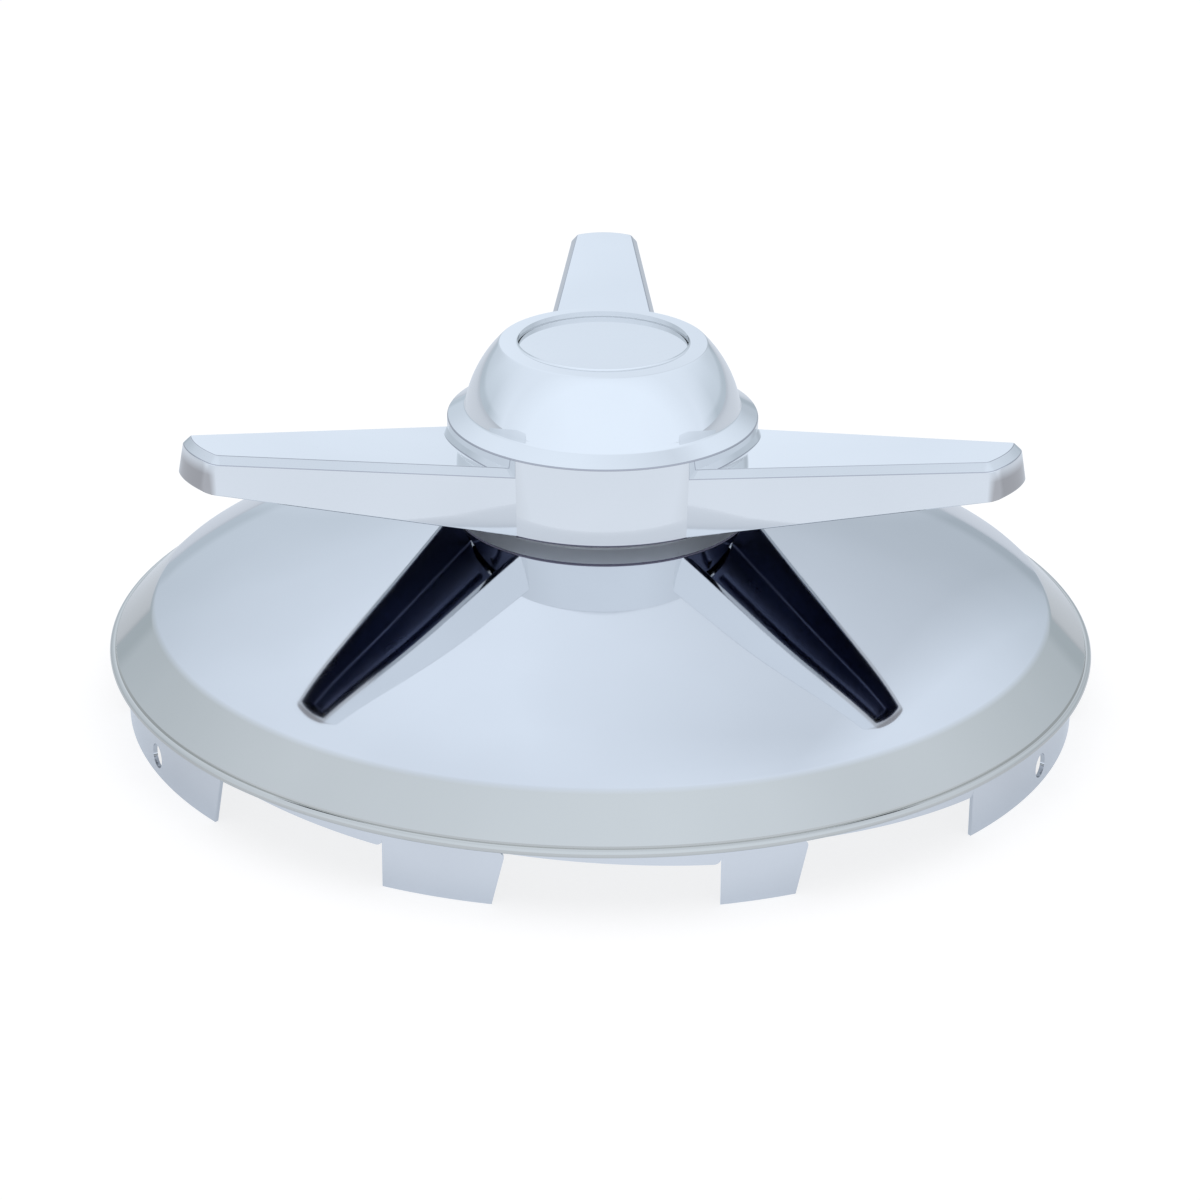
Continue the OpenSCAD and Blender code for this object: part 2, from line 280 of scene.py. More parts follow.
def make_cap():
    """The stamped cap: shell with rolled bead and screw holes, skirt with notches and tab holes."""
    outer = shell_line(0.0)
    inner = shell_line(SHEET_T)
    bead = []
    for i in range(BEAD_STEPS + 1):
        a = math.radians(BEAD_FROM - BEAD_TURN * i / BEAD_STEPS)
        bead.append((bead_mid_r + FOLD_R * math.cos(a), bead_mid_z + FOLD_R * math.sin(a)))
    under = [(bead_mid_r - 0.5, fold_z), (SKIRT_R - 0.5, fold_z), (SKIRT_R - 0.5, fold_z + 1.5)]
    # more rings on the wide faces, for smooth shading
    outer = dense(outer, 2, len(outer) - 2, 2.4)
    inner = dense(inner, 2, len(inner) - 2, 3.2)
    profile = outer + bead + under + inner[::-1]
    bm = bmesh.new()
    lathe(bm, profile, LATHE_SEGMENTS, closed=False)
    bmesh.ops.recalc_face_normals(bm, faces=bm.faces)
    cap = new_object("cap_body", bm)

    skirt = fillet([
        (SKIRT_R, fold_z + 0.4), (SKIRT_R, 0.0, SKIRT_EDGE_R), (SKIRT_R - SHEET_T, 0.0, SKIRT_EDGE_R),
        (SKIRT_R - SHEET_T, fold_z + 2.2), (SKIRT_R - 0.3, fold_z + 2.2),
    ])
    bm = bmesh.new()
    lathe(bm, skirt, LATHE_SEGMENTS)
    bmesh.ops.recalc_face_normals(bm, faces=bm.faces)
    skirt = new_object("cap_skirt", bm)
    bm = bmesh.new()
    half = SKIRT_R * math.sin(math.radians(NOTCH_ANGLE / 2))
    notch = [(-half, -1), (half, -1), (half, NOTCH_H, NOTCH_CORNER), (-half, NOTCH_H, NOTCH_CORNER)]
    for angle in NOTCHES:
        add_radial_prism(bm, angle, fillet(notch, True))
    for angle in TAB_HOLES:
        add_radial_prism(bm, angle, circle(TAB_HOLE_D / 2, 0.0, TAB_HOLE_Z))
    bmesh.ops.recalc_face_normals(bm, faces=bm.faces)
    cut(skirt, new_object("cutter", bm, smooth=False))

    bm = bmesh.new()
    for angle in SCREW_ANGLES:
        outline = circle(CLEAR_D / 2, *on_circle(angle, SCREW_CIRCLE))
        heights = (SEAT_Z - 4, SEAT_Z + 4)
        rows = [[bm.verts.new(Vector((x, y, z)) * MM) for x, y in outline] for z in heights]
        add_prism(bm, rows)
    bmesh.ops.recalc_face_normals(bm, faces=bm.faces)
    cut(cap, new_object("cutter", bm, smooth=False))

    bm = bmesh.new()
    bm.from_mesh(cap.data)
    bm.from_mesh(skirt.data)
    bpy.data.objects.remove(skirt)
    bpy.data.objects.remove(cap)
    cap = new_object("cap_body", bm, sharp=24.0)
    weigh_normals(cap)
    return cap


# Spinner
wing_tilt = math.atan((TIP_TOP_Z - ROOT_TOP_Z) / (TIP_R - ROOT_REF_R))
pivot_z = ROOT_TOP_Z - ROOT_REF_R * math.tan(wing_tilt)
tip_x = TIP_R / math.cos(wing_tilt) + CHAMFER_W
root_x = ROOT_REF_R / math.cos(wing_tilt)
taper = (ROOT_HALF_W - TIP_HALF_W) / (tip_x - root_x)
low_slope = (TIP_LOW_Z - ROOT_LOW_Z) / (TIP_R - ROOT_STEP_X)
ct, st = math.cos(wing_tilt), math.sin(wing_tilt)
# rows of faces of a wing's wall: the fillets below and above the chamfer
EDGE_ROWS = (8, 9, 14, 15)
# material slots of the spinner
CHROME_SLOT, RAW_SHADE_SLOT, FOOT_LIGHT_SLOT, FILLET_SHADE_SLOT, DARK_SHADE_SLOT, CHAMFER_SHADE_SLOT = range(6)


def half_w(x):
    """Half the wing's width at a length x."""
    return ROOT_HALF_W - taper * (x - root_x)


def low_height(x):
    """Height in the wing's tilted frame of its lower edge at a length x."""
    return (ROOT_LOW_Z + low_slope * (x * ct - ROOT_STEP_X) - pivot_z - x * st) / (ct + low_slope * st)


def height_at(height, x):
    return height(x) if callable(height) else height


def root_start(y, h, cut_r):
    """Length at which a line of the wing starts inside the hub, on a cylinder of a radius."""
    r = math.sqrt(max(cut_r ** 2 - y ** 2, 1.0))
    return (r + h * st) / ct


def wing_loop(inset, end_inset, height, cut_r):
    """Half outline of a wing, from the root round the corner to the middle of the tip, as (x, y)."""
    end_x = tip_x - end_inset
    corner = max(TIP_CORNER - inset, 0.8)
    mid_x = end_x - corner - TIP_BOW
    mid_y = half_w(mid_x) - inset - corner
    side = math.degrees(math.pi / 2 - math.atan(taper))
    first_x = mid_x + corner * math.cos(math.radians(side))
    x0 = root_x
    for _ in range(8):
        x0 = root_start(half_w(x0) - inset, height_at(height, x0), cut_r)
    pts = []
    for k in range(WING_LENGTHS):
        x = x0 + (first_x - x0) * k / WING_LENGTHS
        pts.append((x, half_w(x) - inset))
    for k in range(WING_CORNERS + 1):
        a = math.radians(side + (TIP_TURN - side) * k / WING_CORNERS)
        pts.append((mid_x + corner * math.cos(a), mid_y + corner * math.sin(a)))
    last_y = mid_y + corner * math.sin(math.radians(TIP_TURN))
    for k in range(1, WING_CORNERS + 1):
        y = last_y * (1 - k / WING_CORNERS)
        pts.append((
            mid_x + corner * math.cos(math.radians(TIP_TURN))
            + last_y * tan(TIP_TURN) / 2 * (1 - (y / last_y) ** 2),
            y,
        ))
    return pts


def foot_steps(inset, end_inset, way, cut_r):
    """Rounded foot of a wing's wall, as steps of (inset, end inset, height, radius of the root's cut)."""
    steps = []
    for angle in (0, 30, 60, 90):
        c, s = on_circle(angle)
        back = way * (WING_EDGE_R * (1 - s))
        height = lambda x, c=c: low_height(x) + WING_EDGE_R * (1 - c)
        steps.append((inset + back, end_inset + back, height, cut_r))
    return steps


def wing_steps():
    """Outer face of a wing's wall, from its foot up and over the chamfer."""
    steps = foot_steps(0, 0, 1, ROOT_CUT)
    for f in (0.25, 0.5, 0.75):
        height = lambda x, f=f: low_height(x) * (1 - f) - (CHAMFER_H + 0.5) * f
        steps.append((0, 0, height, ROOT_CUT))
    line = fillet([(0, -CHAMFER_H - 2), (0, -CHAMFER_H, 0.7), (CHAMFER_W, 0, 0.55), (CHAMFER_W + 2.5, 0)])
    for inset, h in line[1:]:
        steps.append((inset, inset, h, ROOT_CUT))
    return steps


def inner_steps():
    """Inner face of the wall, from its foot up to the pocket's ceiling."""
    wall, end = WING_WALL, POCKET_TIP
    steps = foot_steps(wall, end, -1, POCKET_CUT)
    for f in (0.3, 0.6):
        height = lambda x, f=f: low_height(x) * (1 - f) - (POCKET_CEILING + 1) * f
        steps.append((wall, end, height, POCKET_CUT))
    line = fillet([(wall, -POCKET_CEILING - 3), (wall, -POCKET_CEILING, 0.9), (wall + 3, -POCKET_CEILING)])
    for inset, h in line[1:]:
        steps.append((inset, end + inset - wall, h, POCKET_CUT))
    return steps


def add_wing(bm, degrees, marked):
    """One hollow wing. Its raw inside faces, painted near-black as shade, and its fillet and chamfer faces,
    painted darker as shade, are added to the lists in marked, by slot.
    """
    turn = Matrix.Rotation(math.radians(degrees), 4, "Z")

    def vert(x, y, h):
        out, up = x * ct - h * st, pivot_z + x * st + h * ct
        return bm.verts.new(turn @ Vector((out * MM, y * MM, up * MM)))

    def full(step):
        inset, end_inset, height, cut_r = step
        half = wing_loop(inset, end_inset, height, cut_r)
        left = [vert(x, y, height_at(height, x)) for x, y in half]
        right = [vert(x, -y, height_at(height, x)) for x, y in half[:-1]][::-1]
        return left + right, half

    def skin(steps, rough):
        loops = [full(step) for step in steps]
        faces = []
        for number, ((a, _), (b, _)) in enumerate(zip(loops, loops[1:])):
            for k in range(len(a) - 1):
                faces.append(bm.faces.new((a[k], a[k + 1], b[k + 1], b[k])))
                # the fillet rows and the chamfer rows take darker chrome as painted shade
                if not rough and number in EDGE_ROWS:
                    marked[FILLET_SHADE_SLOT].append(faces[-1])
                elif not rough and EDGE_ROWS[1] < number < EDGE_ROWS[2]:
                    marked[CHAMFER_SHADE_SLOT].append(faces[-1])
        # top of the wing, or ceiling of its pocket, in rows across
        loop, half = loops[-1]
        height, cut_r = steps[-1][2:]
        n = len(half)
        rows = []
        for k in range(n - 1):
            x, y = half[k]
            row = [loop[k]]
            for m in range(1, WING_ACROSS):
                across_y = y * (1 - 2 * m / WING_ACROSS)
                blend = max(0.0, 1 - k / 10)
                along = x + blend * (root_start(across_y, height_at(height, x), cut_r) - half[0][0])
                row.append(vert(along, across_y, height_at(height, along)))
            row.append(loop[2 * n - 2 - k])
            rows.append(row)
        for p, q in zip(rows, rows[1:]):
            for m in range(WING_ACROSS):
                faces.append(bm.faces.new((p[m], p[m + 1], q[m + 1], q[m])))
        tip = loop[n - 1]
        for m in range(WING_ACROSS):
            faces.append(bm.faces.new((rows[-1][m], rows[-1][m + 1], tip)))
        # the pocket's faces take the raw casting, painted near-black as shade
        if rough:
            marked[RAW_SHADE_SLOT].extend(faces)
        return loops[0][0]

    outer = skin(wing_steps(), False)
    inner = skin(inner_steps(), True)
    for k in range(len(outer) - 1):
        bm.faces.new((outer[k], outer[k + 1], inner[k + 1], inner[k]))
    # rib along the pocket's ceiling
    top = -POCKET_CEILING + 0.2
    low = -POCKET_CEILING - RIB_H
    x0, x1 = RIB_START, tip_x - POCKET_TIP - RIB_END_GAP
    sides = []
    for y, h in ((0.8, top), (0.8, low + 0.3), (0.5, low), (-0.5, low), (-0.8, low + 0.3), (-0.8, top)):
        sides.append([vert(x0 + (x1 - x0) * k / 20, y, h) for k in range(21)])
    for a, b in zip(sides, sides[1:]):
        for k in range(20):
            marked[RAW_SHADE_SLOT].append(bm.faces.new((a[k], a[k + 1], b[k + 1], b[k])))


def make_spinner():
    """The die casting: hub with dome and recess, three screw bosses inside it, three hollow wings."""
    dome_dr, dome_dz = BAND_TOP_R - RING_R, RING_Z - BAND_TOP_Z
    lean = math.atan(dome_dr / dome_dz)
    half = math.asin(math.hypot(dome_dr, dome_dz) / 2 / DOME_R)
    mid_r = BAND_TOP_R - DOME_R * math.cos(lean - half)
    mid_z = BAND_TOP_Z - DOME_R * math.sin(lean - half)
    dome = []
    for i in range(2, 33):
        a = lean - half + 2 * half * i / 34
        dome.append((mid_r + DOME_R * math.cos(a), mid_z + DOME_R * math.sin(a)))
    neck_in = NECK_R - WALL_T
    in_r = DOME_R - WALL_T
    first = math.acos((neck_in - mid_r) / in_r)
    last = math.asin((CEILING_Z - mid_z) / in_r)
    room = [
        (mid_r + in_r * math.cos(first + (last - first) * i / 12),
         mid_z + in_r * math.sin(first + (last - first) * i / 12))
        for i in range(13)
    ]
    foot = [
        (HUB_R, HUB_Z + 4), (HUB_R, HUB_Z, 0.55), (NECK_R, HUB_Z, 0.2),
        (NECK_R, SEAT_Z, 0.2), (neck_in, SEAT_Z, 0.3),
    ]
    inner = fillet(foot + [room[0]])[:-1] + room + [(0.0, CEILING_Z)]
    top = fillet(
        [(0.0, DISC_Z), (RECESS_R, DISC_Z), (RECESS_R, TOP_Z, 0.45), (RING_R, RING_Z, 0.9)] + [dome[-1]]
    )[:-1] + dome[::-1]
    shell = fillet([
        dome[0], (BAND_TOP_R, BAND_TOP_Z, 0.7), (HUB_R, BAND_Z, 0.45), (HUB_R, HUB_Z + 4),
    ])[1:]
    profile = top + dense(shell, 4, len(shell), 3.0) + inner[1:]
    bm = bmesh.new()
    lathe(bm, profile, LATHE_SEGMENTS, closed=False)
    bmesh.ops.recalc_face_normals(bm, faces=bm.faces)
    hub = new_object("spinner_body", bm)

    # bosses for the screws
    bm = bmesh.new()
    bore_r = SCREW_BORE / 2
    for angle in SCREW_ANGLES:
        start = len(bm.verts)
        lathe(bm, fillet([
            (bore_r, SEAT_Z + SCREW_BORE_L), (bore_r, SEAT_Z, 0.25),
            (BOSS_R, SEAT_Z, 0.3), (BOSS_R, CEILING_Z + 0.5),
        ]), 64, closed=False)
        bm.verts.ensure_lookup_table()
        shift = Matrix.Translation(Vector((*on_circle(angle), 0)) * SCREW_CIRCLE * MM)
        bmesh.ops.transform(bm, matrix=shift, verts=bm.verts[start:])
    bmesh.ops.recalc_face_normals(bm, faces=bm.faces)
    bosses = new_object("bosses", bm)

    bm = bmesh.new()
    marked = {RAW_SHADE_SLOT: [], FILLET_SHADE_SLOT: [], CHAMFER_SHADE_SLOT: []}
    for angle in WING_ANGLES:
        add_wing(bm, angle, marked)
    for slot, faces in marked.items():
        for face in faces:
            face.material_index = slot
    bmesh.ops.recalc_face_normals(bm, faces=bm.faces)
    wings = new_object("wings", bm)

    bm = bmesh.new()
    bm.from_mesh(hub.data)
    bm.faces.ensure_lookup_table()
    for face in bm.faces:
        # the inside is raw casting painted near-black as shade, the hub's underside a light satin as painted
        # light, its lower edge painted dark as shade, the band's edge a dark line of painted shade
        mid = face.calc_center_median() / MM
        r = math.hypot(mid.x, mid.y)
        faces_in = face.normal.x * mid.x + face.normal.y * mid.y < 0 or face.normal.z < -0.5
        hidden = faces_in and r < neck_in + 0.05 and mid.z < DISC_Z - 0.5
        under = mid.z < HUB_Z + 0.3 and r < HUB_R - 0.4
        foot = mid.z < HUB_Z + 0.55 and r > HUB_R - 0.6
        lip = abs(mid.z - BAND_Z) < 0.35 and r > HUB_R - 0.5
        if hidden:
            face.material_index = RAW_SHADE_SLOT
        elif under:
            face.material_index = FOOT_LIGHT_SLOT
        elif foot:
            face.material_index = DARK_SHADE_SLOT
        elif lip:
            face.material_index = FILLET_SHADE_SLOT
        else:
            face.material_index = CHROME_SLOT
    bm.from_mesh(bosses.data)
    bm.from_mesh(wings.data)
    for o in (hub, bosses, wings):
        bpy.data.objects.remove(o)
    spinner = new_object("spinner_body", bm, sharp=28.0)
    weigh_normals(spinner)
    return spinner


# Materials
def material(name):
    """A new material, its node tree and its shader."""
    mat = bpy.data.materials.new(name)
    mat.use_nodes = True
    tree = mat.node_tree
    return mat, tree, tree.nodes["Principled BSDF"]


def add(tree, kind, **settings):
    node = tree.nodes.new(kind)
    for key, value in settings.items():
        setattr(node, key, value)
    return node


def larger(tree, a, b):
    """The larger of two values, used to join kinds of ray."""
    node = add(tree, "ShaderNodeMath", operation="MAXIMUM")
    link(tree, a, node.inputs[0])
    link(tree, b, node.inputs[1])
    return node.outputs[0]


def link(tree, a, b):
    tree.links.new(a, b)


def noise(tree, coords, scale, detail=3.0):
    node = add(tree, "ShaderNodeTexNoise")
    node.inputs["Scale"].default_value = scale
    node.inputs["Detail"].default_value = detail
    link(tree, coords, node.inputs["Vector"])
    return node.outputs["Fac"]


def ramp(tree, fac, low, high, a=0.3, b=0.7):
    node = add(tree, "ShaderNodeValToRGB")
    node.color_ramp.elements[0].position = a
    node.color_ramp.elements[1].position = b
    node.color_ramp.elements[0].color = low
    node.color_ramp.elements[1].color = high
    link(tree, fac, node.inputs["Fac"])
    return node.outputs["Color"]


def map_range(tree, fac, low, high, a=0.3, b=0.7):
    node = add(tree, "ShaderNodeMapRange")
    for key, value in (("From Min", a), ("From Max", b), ("To Min", low), ("To Max", high)):
        node.inputs[key].default_value = value
    link(tree, fac, node.inputs["Value"])
    return node.outputs["Result"]


def level_by(tree, fac, low, high, stops):
    """A level that follows stops of (value, level) between two values of an input."""
    spread = map_range(tree, fac, 0.0, 1.0, low, high)
    node = add(tree, "ShaderNodeValToRGB")
    elements = node.color_ramp.elements
    for index, (value, level) in enumerate(stops):
        place = (value - low) / (high - low)
        stop = elements[index] if index < 2 else elements.new(place)
        stop.position = place
        stop.color = (level, level, level, 1)
    link(tree, spread, node.inputs["Fac"])
    return node.outputs["Color"]


def join(tree, kind, a, b):
    """Joins two colours, each a socket or three numbers."""
    node = add(tree, "ShaderNodeVectorMath", operation=kind)
    for index, value in enumerate((a, b)):
        if isinstance(value, tuple):
            node.inputs[index].default_value = value
        else:
            link(tree, value, node.inputs[index])
    return node.outputs[0]


def bump(tree, height, depth):
    """A bump of a depth in mm."""
    node = add(tree, "ShaderNodeBump")
    node.inputs["Strength"].default_value = 1.0
    node.inputs["Distance"].default_value = depth * MM
    link(tree, height, node.inputs["Height"])
    return node


def metal(name, dark, light, rough, grain, wave=0.0, wave_scale=30.0, grain_scale=900.0, metallic=1.0):
    """A metal between two colours and two roughnesses, with fine grain and slow waves, both in mm."""
    mat, tree, bsdf = material(name)
    coords = add(tree, "ShaderNodeTexCoord").outputs["Object"]
    bsdf.inputs["Metallic"].default_value = metallic
    link(tree, ramp(tree, noise(tree, coords, 18.0), (*dark, 1), (*light, 1)), bsdf.inputs["Base Color"])
    link(tree, map_range(tree, noise(tree, coords, 45.0), *rough), bsdf.inputs["Roughness"])
    last = bump(tree, noise(tree, coords, grain_scale, 2.0), grain)
    if wave:
        wide = bump(tree, noise(tree, coords, wave_scale, 1.0), wave)
        link(tree, last.outputs["Normal"], wide.inputs["Normal"])
        last = wide
    link(tree, last.outputs["Normal"], bsdf.inputs["Normal"])
    return mat


cap_chrome = metal("cap_chrome", (0.67, 0.68, 0.70), (0.71, 0.72, 0.74), (0.03, 0.07), 0.0004, 0.03, 22.0)
spinner_chrome = metal(
    "spinner_chrome", (0.765, 0.775, 0.785), (0.805, 0.815, 0.825), (0.02, 0.05), 0.0003, 0.01, 40.0)
disc_chrome = metal(
    "disc_chrome", (0.75, 0.76, 0.77), (0.79, 0.80, 0.80), (0.06, 0.12), 0.0006, 0.004, 60.0)
# raw casting of the hollows, painted near-black navy as shade, much darker than bare zinc
raw_casting_painted_shade = metal(
    "raw_casting_painted_shade", (0.060, 0.070, 0.125), (0.110, 0.125, 0.200), (0.25, 0.42), 0.02, 0.05, 120.0, 500.0)
# painted light: a near-white, barely metallic underside, so the hub's shaded underside reads light
satin_foot_painted_light = metal(
    "satin_foot_painted_light", (0.90, 0.91, 0.92), (0.95, 0.95, 0.96), (0.42, 0.55), 0.01, 0.02, 90.0, 400.0, 0.1)
# painted shade: a darker copy of the chrome for the chamfers
chamfer_painted_shade = metal("chamfer_painted_shade", (0.64, 0.65, 0.66), (0.70, 0.71, 0.72), (0.04, 0.09), 0.0004)
# painted shade: a much darker chrome for the fillets and the band's edge, drawn as dark lines
fillet_painted_shade = metal("fillet_painted_shade", (0.40, 0.40, 0.43), (0.48, 0.48, 0.51), (0.05, 0.12), 0.0004)
# painted shade: a near-black strip along the hub's lower edge
hub_edge_painted_shade = metal("hub_edge_painted_shade", (0.12, 0.11, 0.15), (0.20, 0.19, 0.24), (0.15, 0.30), 0.002)
screw_zinc = metal("screw_zinc", (0.52, 0.53, 0.53), (0.62, 0.63, 0.62), (0.22, 0.34), 0.004)
spring_steel = metal("spring_steel", (0.10, 0.10, 0.11), (0.17, 0.17, 0.18), (0.32, 0.46), 0.006)
washer_zinc = metal("washer_zinc", (0.50, 0.51, 0.52), (0.60, 0.61, 0.61), (0.26, 0.40), 0.005)


def paint_shade_zone(mat, tint, radius, heights):
    """Paints shade on a metal: multiplies its colour outside a radius, fading in between two heights in mm.
    """
    tree = mat.node_tree
    bsdf = tree.nodes["Principled BSDF"]
    coords = add(tree, "ShaderNodeTexCoord").outputs["Object"]
    flat = add(tree, "ShaderNodeVectorMath", operation="MULTIPLY")
    flat.inputs[1].default_value = (1.0, 1.0, 0.0)
    link(tree, coords, flat.inputs[0])
    length = add(tree, "ShaderNodeVectorMath", operation="LENGTH")
    link(tree, flat.outputs[0], length.inputs[0])
    outside = map_range(tree, length.outputs["Value"], 0.0, 1.0, (radius - 0.6) * MM, (radius + 0.6) * MM)
    height = add(tree, "ShaderNodeSeparateXYZ")
    link(tree, coords, height.inputs[0])
    level = map_range(tree, height.outputs["Z"], 0.0, 1.0, heights[0] * MM, heights[1] * MM)
    both = add(tree, "ShaderNodeMath", operation="MULTIPLY")
    link(tree, outside, both.inputs[0])
    link(tree, level, both.inputs[1])
    mixed = add(tree, "ShaderNodeMix", data_type="RGBA", blend_type="MULTIPLY")
    link(tree, both.outputs[0], mixed.inputs[0])
    link(tree, bsdf.inputs["Base Color"].links[0].from_socket, mixed.inputs[6])
    mixed.inputs[7].default_value = (*tint, 1)
    link(tree, mixed.outputs[2], bsdf.inputs["Base Color"])


def dress(node, mat):
    """Gives a carried-over CAD node its material."""
    slots = nodes[node].data.materials
    if len(slots):
        for i in range(len(slots)):
            slots[i] = mat
    else:
        slots.append(mat)


# painted shade: the bevel is painted a little darker and warmer than the cone as a painted reflection, and
# the wings' ends are painted darker below as shade
paint_shade_zone(cap_chrome, (0.84, 0.82, 0.76), CREASE_R, (BEAD_Z - 0.4, BEAD_Z))
paint_shade_zone(spinner_chrome, (0.60, 0.57, 0.56), TIP_R + 0.6, (77.5, 75.5))
dress("centre_disc", disc_chrome)
dress("spinner_screws", screw_zinc)
dress("lock_washers", spring_steel)
dress("flat_washers", washer_zinc)

cap = make_cap()
cap.data.materials.append(cap_chrome)
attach(cap, "root")
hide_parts("cap_shell")

spinner = make_spinner()
for mat in (spinner_chrome, raw_casting_painted_shade, satin_foot_painted_light, fillet_painted_shade, hub_edge_painted_shade, chamfer_painted_shade):
    spinner.data.materials.append(mat)
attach(spinner, "root")
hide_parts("spinner")

# Floor, white to the camera and slightly blue in the metal, where a painted shadow makes it darker beside
# the cap than in front
CAST = (0.90, 1.0, 1.13)
FLOOR_GLOW, FRONT_LEVEL, SIDE_SHADOW_LEVEL = 0.80, 0.86, 0.66
FRONT_Y, SIDE_Y = -0.115, -0.055
bpy.ops.mesh.primitive_plane_add(size=12.0, location=(0, 0, 0))
floor = bpy.context.object
floor.name = "floor"
mat, tree, bsdf = material("floor_white")
bsdf.inputs["Base Color"].default_value = (0.86, 0.87, 0.88, 1)
bsdf.inputs["Roughness"].default_value = 0.9
bsdf.inputs["Specular IOR Level"].default_value = 0.1
place = add(tree, "ShaderNodeSeparateXYZ")
link(tree, add(tree, "ShaderNodeTexCoord").outputs["Object"], place.inputs[0])
# painted shadow: in the mirrors the floor fades darker from in front of the cap to beside it
spread = map_range(tree, place.outputs["Y"], 0.0, 1.0, FRONT_Y, SIDE_Y)
ends = [(*(level * part for part in CAST), 1) for level in (FRONT_LEVEL, SIDE_SHADOW_LEVEL)]
rays = add(tree, "ShaderNodeLightPath").outputs
shadowed_tone = add(tree, "ShaderNodeMix", data_type="RGBA")
shadowed_tone.inputs[6].default_value = (1, 1, 1, 1)
link(tree, rays["Is Glossy Ray"], shadowed_tone.inputs[0])
link(tree, ramp(tree, spread, *ends, 0.0, 1.0), shadowed_tone.inputs[7])
glow = add(tree, "ShaderNodeEmission")
glow.inputs["Strength"].default_value = FLOOR_GLOW
link(tree, shadowed_tone.outputs[2], glow.inputs["Color"])
shadow = add(tree, "ShaderNodeBsdfDiffuse")
shadow.inputs["Color"].default_value = (0.30, 0.30, 0.31, 1)
shade = add(tree, "ShaderNodeAddShader")
link(tree, shadow.outputs[0], shade.inputs[0])
link(tree, glow.outputs[0], shade.inputs[1])
seen = larger(tree, larger(tree, rays["Is Camera Ray"], rays["Is Glossy Ray"]), rays["Is Transmission Ray"])
mix = add(tree, "ShaderNodeMixShader")
link(tree, seen, mix.inputs["Fac"])
link(tree, bsdf.outputs[0], mix.inputs[1])
link(tree, shade.outputs[0], mix.inputs[2])
link(tree, mix.outputs[0], tree.nodes["Material Output"].inputs["Surface"])
floor.data.materials.append(mat)
floor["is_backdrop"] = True

# Surroundings that the metal mirrors, with levels by the direction: X to the right, Y to the back, Z up
world = bpy.data.worlds.new("studio")
bpy.context.scene.world = world
world.use_nodes = True
tree = world.node_tree
tree.nodes.clear()
split = add(tree, "ShaderNodeSeparateXYZ")
link(tree, add(tree, "ShaderNodeTexCoord").outputs["Generated"], split.inputs[0])
across, depth, height = split.outputs
aside = add(tree, "ShaderNodeMath", operation="ABSOLUTE")
link(tree, across, aside.inputs[0])
aside = aside.outputs[0]
# brightest in front, a little darker at the sides
front = level_by(tree, depth, -1.0, 1.0, [
    (-1.0, 1.11), (-0.45, 1.10), (-0.25, 1.05), (-0.1, 1.01), (0.1, 1.01),
    (0.6, 1.01), (0.75, 0.97), (0.9, 0.95), (1.0, 0.95),
])
side = level_by(tree, aside, 0.0, 1.0, [(0.0, 0.0), (0.45, 0.0), (0.85, 0.03), (1.0, 0.04)])
# darker towards the horizon behind, away from its middle
low_side = level_by(tree, aside, 0.0, 1.0, [(0.0, 0.0), (0.12, 0.0), (0.25, 1.0), (1.0, 1.0)])
low_height = level_by(tree, height, 0.0, 1.0, [
    (0.0, 0.34), (0.06, 0.33), (0.11, 0.22), (0.25, 0.18), (0.35, 0.14),
    (0.45, 0.09), (0.6, 0.04), (0.75, 0.0), (1.0, 0.0),
])
low_back = level_by(tree, depth, -1.0, 1.0, [(-1.0, 0.0), (0.0, 0.0), (0.35, 1.0), (1.0, 1.0)])
low_part = join(tree, "MULTIPLY", low_side, low_height)
low_part = join(tree, "MULTIPLY", low_part, join(tree, "MULTIPLY", low_back, (1.07, 1.0, 1.0)))
sky = join(tree, "SUBTRACT", join(tree, "SUBTRACT", front, side), low_part)
# behind, the right is darker than the left; 0.90 stands for no change
lean = level_by(tree, across, -1.0, 1.0, [
    (-1.0, 0.90), (-0.42, 0.90), (-0.25, 0.95), (-0.12, 0.97), (0.0, 0.90),
    (0.12, 0.83), (0.25, 0.76), (0.36, 0.73), (0.48, 0.90), (1.0, 0.90),
])
lean = join(tree, "MULTIPLY", join(tree, "SUBTRACT", lean, (0.90, 0.90, 0.90)), low_back)
lean = join(tree, "ADD", lean, (1.0, 1.0, 1.0))
sky = join(tree, "MULTIPLY", join(tree, "MULTIPLY", sky, lean), CAST)

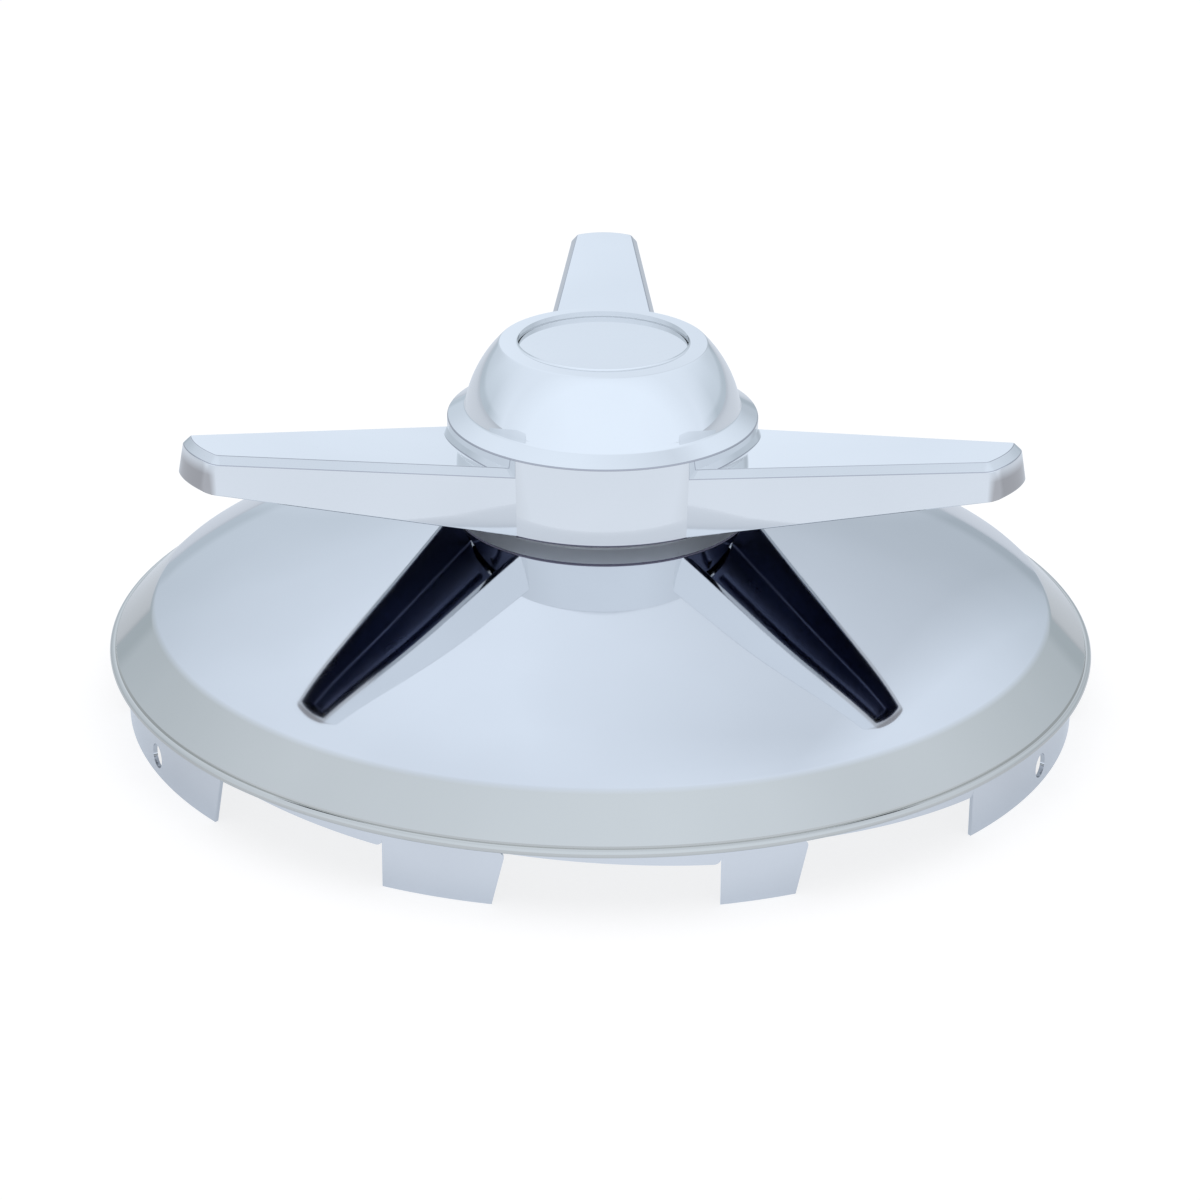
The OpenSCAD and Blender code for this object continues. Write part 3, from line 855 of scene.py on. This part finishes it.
# the camera sees plain white, mirrors see those levels, and matt surfaces get a weak even light
shown = add(tree, "ShaderNodeBackground")
link(tree, sky, shown.inputs["Color"])
white = add(tree, "ShaderNodeBackground")
white.inputs["Color"].default_value = (1, 1, 1, 1)
fill = add(tree, "ShaderNodeBackground")
fill.inputs["Color"].default_value = (0.92, 0.95, 1.0, 1)
fill.inputs["Strength"].default_value = 0.35
rays = add(tree, "ShaderNodeLightPath").outputs
mirrored = add(tree, "ShaderNodeMixShader")
link(tree, rays["Is Glossy Ray"], mirrored.inputs["Fac"])
link(tree, fill.outputs[0], mirrored.inputs[1])
link(tree, shown.outputs[0], mirrored.inputs[2])
mix = add(tree, "ShaderNodeMixShader")
link(tree, larger(tree, rays["Is Camera Ray"], rays["Is Transmission Ray"]), mix.inputs["Fac"])
link(tree, mirrored.outputs[0], mix.inputs[1])
link(tree, white.outputs[0], mix.inputs[2])
link(tree, mix.outputs[0], add(tree, "ShaderNodeOutputWorld").inputs["Surface"])

light = bpy.data.lights.new("key_top", "AREA")
light.shape = "RECTANGLE"
light.size, light.size_y = 2.0, 2.0
light.energy = 13.0
lamp = bpy.data.objects.new("key_top", light)
bpy.context.scene.collection.objects.link(lamp)
lamp.location = (0.0, 0.1, 1.3)
lamp.rotation_euler = (Vector((0, 0, 0.03)) - lamp.location).to_track_quat("-Z", "Y").to_euler()
lamp.visible_glossy = False

# Camera, fitted to the photo: focal length in its pixels, distance in mm, angles in radians
FOCAL, DIST, ELEV, ROLL = 3628.03, 850.0, 0.4225811, -0.009
FRAME_PX, SENSOR = 1200, 36.0
ORIGIN_PX = (601.0, 632.5)
camera_data = bpy.data.cameras.new("camera")
camera = bpy.data.objects.new("camera", camera_data)
bpy.context.scene.collection.objects.link(camera)
bpy.context.scene.camera = camera
camera_data.sensor_fit = "HORIZONTAL"
camera_data.sensor_width = SENSOR
camera_data.lens = FOCAL / FRAME_PX * SENSOR
camera_data.clip_start, camera_data.clip_end = 0.05, 30.0
back = Vector((0, -math.cos(ELEV), math.sin(ELEV)))
place = (back * DIST + Vector((0, 0, BEAD_Z))) * MM
right, up = Vector((1, 0, 0)), Vector((0, math.sin(ELEV), math.cos(ELEV)))
# the axis point at the bead's height projects to ORIGIN_PX, so the camera turns by that little
yaw, pitch = (math.atan((pixel - FRAME_PX / 2) / FOCAL) for pixel in ORIGIN_PX)
frame_axes = Matrix((right, up, back)).transposed().to_4x4()
look = frame_axes
for angle, axis in ((yaw, "Y"), (pitch, "X"), (-ROLL, "Z")):
    look = look @ Matrix.Rotation(angle, 4, axis)
camera.matrix_world = Matrix.Translation(place) @ look

bpy.context.scene.view_settings.view_transform = "Standard"

plain = lambda box: [list(map(float, corner)) for corner in box]
{"cad": plain(cad_box), "visual": plain(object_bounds())}
